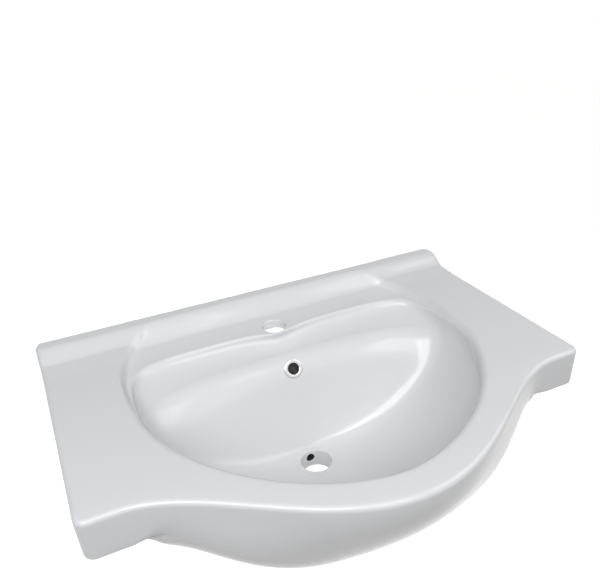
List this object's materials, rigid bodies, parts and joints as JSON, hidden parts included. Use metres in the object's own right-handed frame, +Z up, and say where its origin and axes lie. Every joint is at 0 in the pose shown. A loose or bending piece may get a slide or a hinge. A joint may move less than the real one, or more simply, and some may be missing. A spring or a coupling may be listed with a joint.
{
  "type": "inset washbasin",
  "caption": "Wide inset washbasin with a bowed front, raised wall ledge, tap platform with hole, deep bowl, overflow ring and waste hole.",
  "frame": {"origin": "on the back face, in the middle of the width, at the level of the decks", "axes": "+X to the right along the wall, +Y into the wall, +Z up"},
  "size_m": [0.65, 0.482, 0.2185],
  "materials": {
    "glaze": "glossy white glaze",
    "ring": "polished",
    "sleeve": "matt black"
  },
  "bodies": {
    "root": {"ceramic_basin": "glaze", "overflow_ring": "ring", "overflow_sleeve": "sleeve"}
  },
  "joints": []
}
